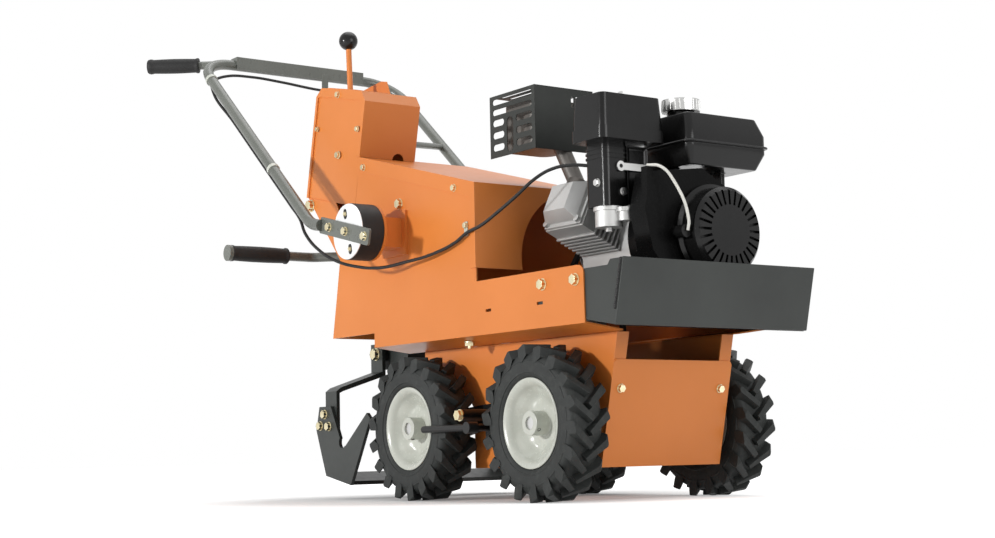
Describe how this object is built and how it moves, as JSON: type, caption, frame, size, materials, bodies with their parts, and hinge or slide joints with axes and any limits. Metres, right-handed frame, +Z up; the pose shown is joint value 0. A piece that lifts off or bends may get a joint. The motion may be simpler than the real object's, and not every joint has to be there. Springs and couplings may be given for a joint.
{
  "type": "sod cutter",
  "caption": "Walk-behind sod cutter with lugged wheels, swinging under-blade, engine on a front deck, sloped belt cover, control tower and isolated handlebar.",
  "frame": {"origin": "on the ground, under the middle of the machine's bounding box", "axes": "+X forward (the way it drives), +Y to the operator's left, +Z up"},
  "size_m": [1.617, 0.7534, 1.109],
  "materials": {
    "orange paint": "semi-gloss orange powder coat",
    "dark paint": "satin dark grey paint",
    "black plastic": "satin black moulding",
    "black paint": "satin black paint",
    "bright steel": "machined steel",
    "grey tube": "grey-green paint",
    "zinc hardware": "yellow zinc plating",
    "rim paint": "off-white paint",
    "cast alloy": "cast aluminium",
    "chrome": "bright plated cap",
    "rubber": "moulded black rubber",
    "rope": "braided white cord",
    "tyre": "lugged tyre rubber"
  },
  "bodies": {
    "frame": {"front_bearings": "dark paint", "right_chassis_wall": "orange paint", "left_chassis_wall": "orange paint", "chassis_floor": "orange paint", "cross_members": "orange paint", "front_panel": "orange paint", "carriage_pivot": "zinc hardware", "depth_bracket": "black paint", "engine_deck": "dark paint", "right_side_panel": "orange paint", "left_side_panel": "orange paint", "rear_panel": "orange paint", "belt_cover": "orange paint", "housing_wall": "orange paint", "tower_sides": "orange paint", "tower_cover": "orange paint", "lever_gate": "orange paint", "lever_pivot": "zinc hardware", "isolator_brackets": "orange paint", "rubber_isolators": "rubber", "isolator_plates": "cast alloy", "handlebar": "grey tube", "handle_brace": "grey tube", "handle_grips": "rubber", "lift_handle": "grey tube", "throttle_cable": "rubber", "cable_ties": "rim paint", "engine_block": "cast alloy", "valve_cover": "cast alloy", "fan_shroud": "black plastic", "recoil_cover": "black plastic", "fuel_tank": "black plastic", "air_cleaner": "black plastic", "carburettor": "cast alloy", "muffler": "bright steel", "muffler_guard": "black paint", "starter_rope": "rope", "drive_belts": "rubber", "gearbox": "dark paint", "blade_gearbox": "dark paint"},
    "front_wheels": {"front_axle": "bright steel", "front_rims": "rim paint", "front_tyres": "tyre"},
    "rear_carriage": {"rear_carriage": "black paint", "rear_bearings": "dark paint"},
    "rear_wheels": {"rear_axle": "bright steel", "rear_rims": "rim paint", "rear_tyres": "tyre"},
    "depth_lever": {"depth_lock_lever": "black paint"},
    "blade_gear": {"blade_arms": "dark paint", "blade": "dark paint"},
    "crankshaft": {"crankshaft": "bright steel"},
    "blade_shaft": {"blade_drive": "bright steel"},
    "gearbox_input": {"gearbox_input": "bright steel"},
    "drive_lever": {"drive_lever": "orange paint", "lever_knob": "black plastic"},
    "control_bail": {"control_bail": "grey tube"},
    "choke_lever": {"choke_lever": "bright steel"},
    "fuel_cap": {"fuel_cap": "chrome"},
    "wing_nut": {"wing_nut": "bright steel"}
  },
  "joints": [
    {"name": "front_axle_spin", "type": "hinge", "parent": "frame", "child": "front_wheels", "pos_m": [0.51938, 0.087, 0.1525], "axis": [0, 1, 0], "continuous": true},
    {"name": "depth_swing", "type": "hinge", "parent": "frame", "child": "rear_carriage", "pos_m": [0.26368, 0.087, 0.1755], "axis": [0, 1, 0], "range_deg": [-7, 4]},
    {"name": "rear_axle_spin", "type": "hinge", "parent": "rear_carriage", "child": "rear_wheels", "pos_m": [0.08538, 0.087, 0.1525], "axis": [0, 1, 0], "continuous": true},
    {"name": "depth_lock_turn", "type": "hinge", "parent": "frame", "child": "depth_lever", "pos_m": [0.34237, 0.087, 0.1485], "axis": [0, 1, 0], "range_deg": [-25, 60]},
    {"name": "blade_swing", "type": "hinge", "parent": "frame", "child": "blade_gear", "pos_m": [-0.27512, 0.087, 0.334], "axis": [0, 1, 0], "range_deg": [-2.3, 2.3]},
    {"name": "crankshaft_spin", "type": "hinge", "parent": "frame", "child": "crankshaft", "pos_m": [0.37938, 0.15, 0.516], "axis": [1, 0, 0], "continuous": true},
    {"name": "blade_shaft_spin", "type": "hinge", "parent": "frame", "child": "blade_shaft", "pos_m": [0.36138, 0.087, 0.372], "axis": [1, 0, 0], "continuous": true},
    {"name": "gearbox_input_spin", "type": "hinge", "parent": "frame", "child": "gearbox_input", "pos_m": [0.38538, 0.112, 0.2225], "axis": [1, 0, 0], "continuous": true},
    {"name": "drive_lever_swing", "type": "hinge", "parent": "frame", "child": "drive_lever", "pos_m": [-0.21399, -0.112, 0.78833], "axis": [0, 1, 0], "range_deg": [-10, 10]},
    {"name": "bail_squeeze", "type": "hinge", "parent": "frame", "child": "control_bail", "pos_m": [-0.6714, 0, 1.088], "axis": [0, 1, 0], "range_deg": [0, 20], "stiffness_Nm_per_rad": 2},
    {"name": "choke_turn", "type": "hinge", "parent": "frame", "child": "choke_lever", "pos_m": [0.63838, -0.018, 0.647], "axis": [1, 0, 0], "range_deg": [0, 20]},
    {"name": "fuel_cap_turn", "type": "hinge", "parent": "frame", "child": "fuel_cap", "pos_m": [0.65338, 0.132, 0.774], "axis": [0, 0, 1], "range_deg": [0, 90]},
    {"name": "wing_nut_turn", "type": "hinge", "parent": "frame", "child": "wing_nut", "pos_m": [0.62538, -0.008, 0.788], "axis": [0, 0, 1], "continuous": true}
  ],
  "couplings": [
    {"joint": "blade_shaft_spin", "follows": "crankshaft_spin", "ratio": 0.69231},
    {"joint": "gearbox_input_spin", "follows": "crankshaft_spin", "ratio": 0.64286}
  ]
}
